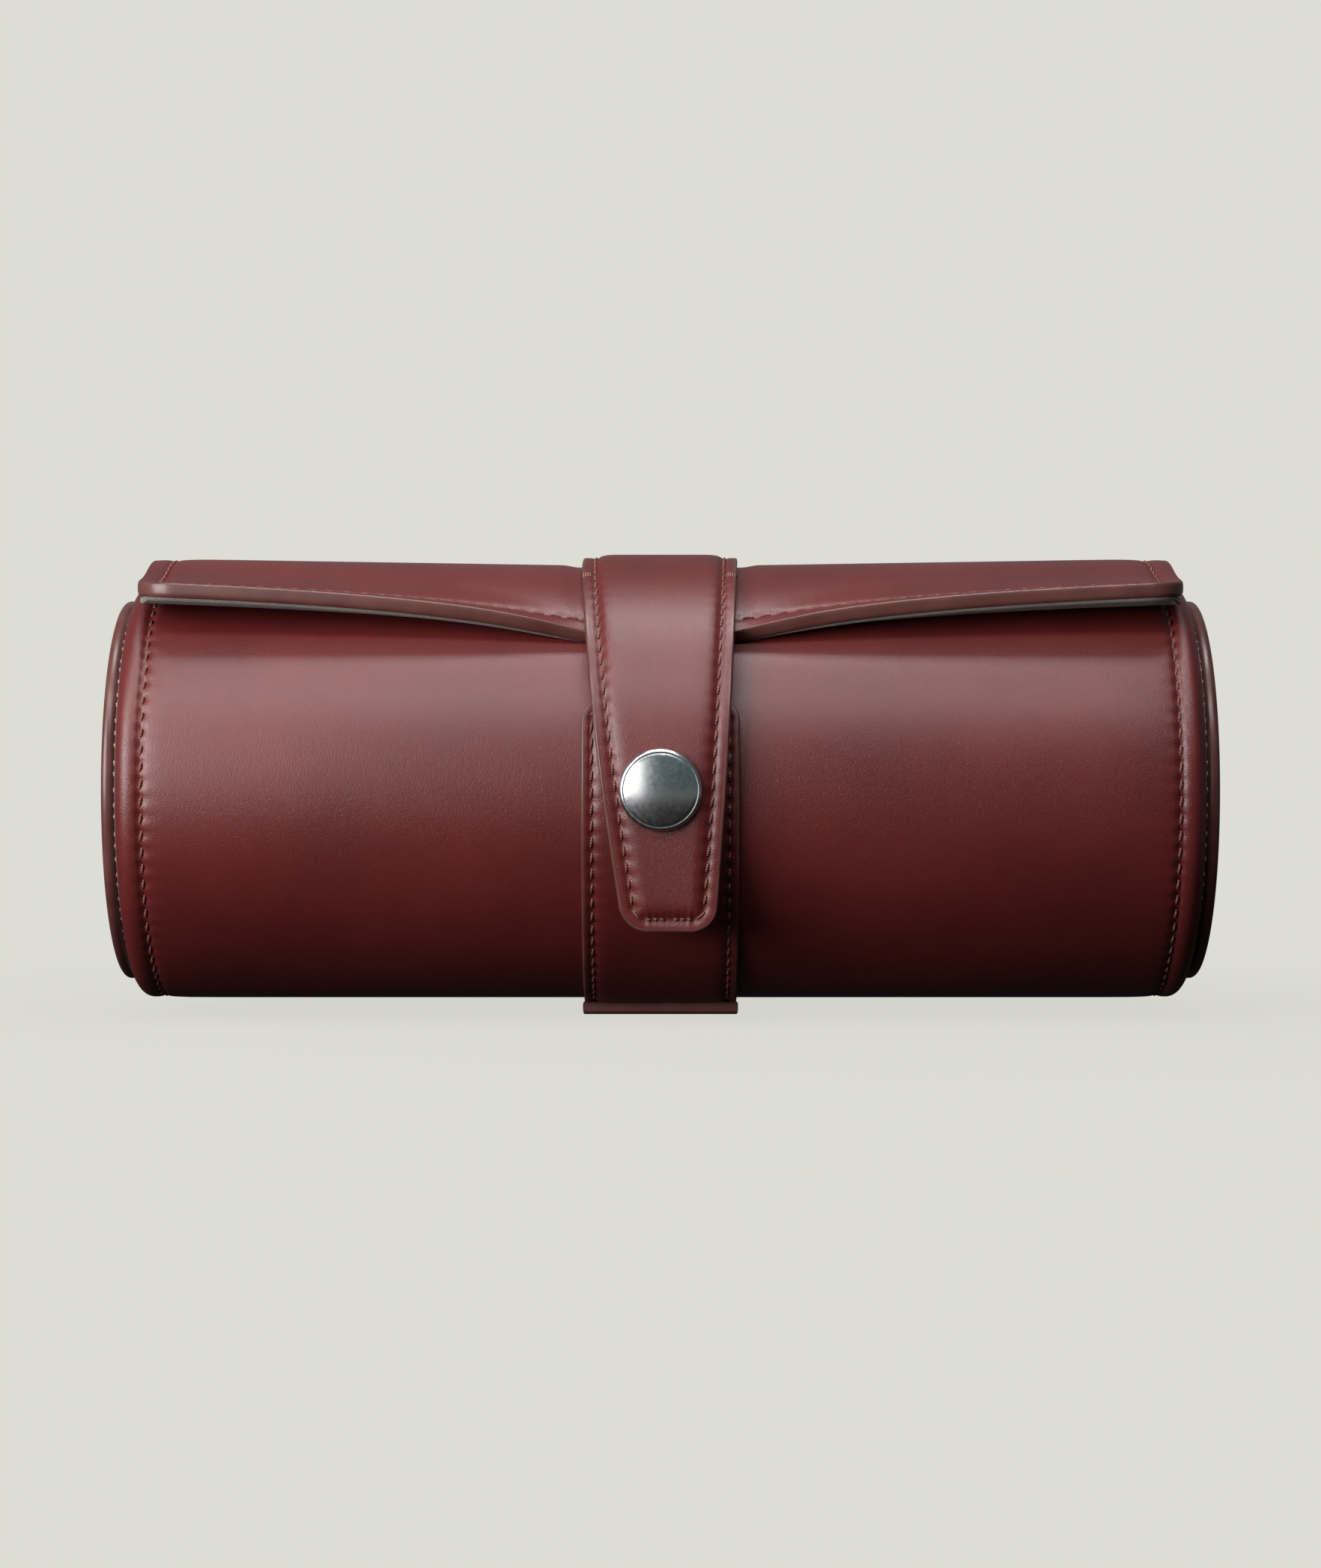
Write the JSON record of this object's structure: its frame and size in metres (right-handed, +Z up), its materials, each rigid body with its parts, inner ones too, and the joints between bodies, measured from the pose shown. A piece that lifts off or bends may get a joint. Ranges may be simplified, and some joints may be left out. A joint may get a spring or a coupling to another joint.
{
  "type": "watch roll",
  "caption": "Round leather watch roll with sewn end caps, a padded flap hinged along the back, and a tapered strap that snaps to a keeper on the front.",
  "frame": {"origin": "centre of the flat rest face on the belt, below the roll's axis", "axes": "+X along the roll, -Y the front with the snap, +Z up"},
  "size_m": [0.2054, 0.09, 0.088],
  "materials": {
    "calf_leather": "smooth burgundy calf with a fine grain, satin",
    "backing_leather": "dark lining leather, matt",
    "suede": "grey-taupe suede, matt nap",
    "board": "stiff grey-brown board, matt",
    "foam": "open foam, matt",
    "nickel": "polished nickel plate"
  },
  "bodies": {
    "case": {"case_leather": "calf_leather", "case_board": "board", "case_lining": "suede", "end_leather_left": "calf_leather", "end_board_left": "board", "end_lining_left": "suede", "end_leather_right": "calf_leather", "end_board_right": "board", "end_lining_right": "suede", "divider_board_left": "board", "divider_suede_left": "suede", "divider_board_right": "board", "divider_suede_right": "suede", "cushion_cover_left": "suede", "cushion_foam_left": "foam", "cushion_cover_centre": "suede", "cushion_foam_centre": "foam", "cushion_cover_right": "suede", "cushion_foam_right": "foam", "keeper_leather": "calf_leather", "keeper_backing": "backing_leather", "belt_leather": "calf_leather", "belt_backing": "backing_leather", "snap_stud": "nickel", "snap_rivet": "nickel"},
    "flap": {"flap_leather": "calf_leather", "flap_padding": "foam", "flap_lining": "suede", "flap_belt_leather": "calf_leather", "flap_belt_backing": "backing_leather"},
    "strap": {"strap_leather": "calf_leather", "strap_padding": "foam", "strap_lining": "backing_leather", "snap_cap": "nickel", "snap_socket": "nickel"}
  },
  "joints": [
    {"name": "flap_open", "type": "hinge", "parent": "case", "child": "flap", "pos_m": [0, 0.04193, 0.03812], "axis": [-1, 0, 0], "range_deg": [0, 110]},
    {"name": "strap_lift", "type": "hinge", "parent": "flap", "child": "strap", "pos_m": [0, -0.00158, 0.08817], "axis": [-1, 0, 0], "range_deg": [0, 137.5]}
  ],
  "couplings": [
    {"joint": "strap_lift", "follows": "flap_open", "ratio": 1.25}
  ]
}
